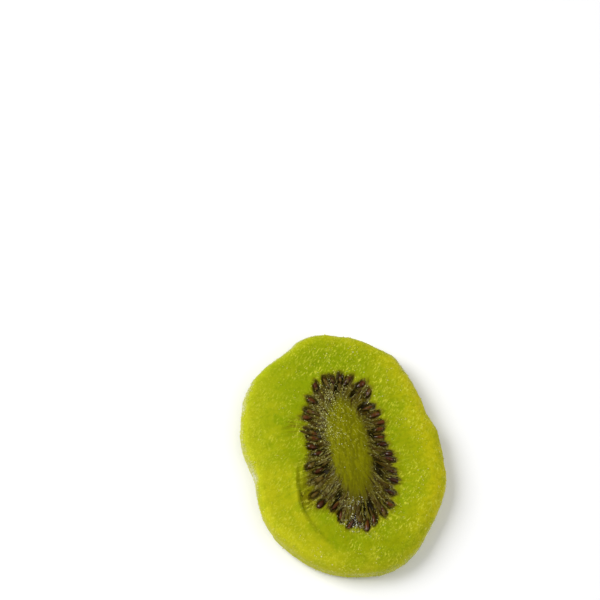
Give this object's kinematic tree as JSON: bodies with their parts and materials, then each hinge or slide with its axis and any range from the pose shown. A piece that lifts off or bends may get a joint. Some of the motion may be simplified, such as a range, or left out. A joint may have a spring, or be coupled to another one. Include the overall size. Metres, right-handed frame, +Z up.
{
  "type": "dried kiwi slice",
  "caption": "Oval slice of dried kiwi with wavy rounded edges, a raised outer ring, a sunken band of seeds and a low domed core; it lies flat.",
  "frame": {"origin": "middle of the flat underside, at the centre of the slice's box, on the surface it lies on", "axes": "+Z up out of the shown cut face, +Y along the slice, which is the fruit's own length, +X across it"},
  "size_m": [0.0386, 0.0514, 0.0068],
  "materials": {
    "flesh": "satin",
    "seed": "gloss",
    "fibre": "satin",
    "sugar": "gloss"
  },
  "bodies": {
    "root": {"kiwi_slice": "flesh"}
  },
  "joints": []
}
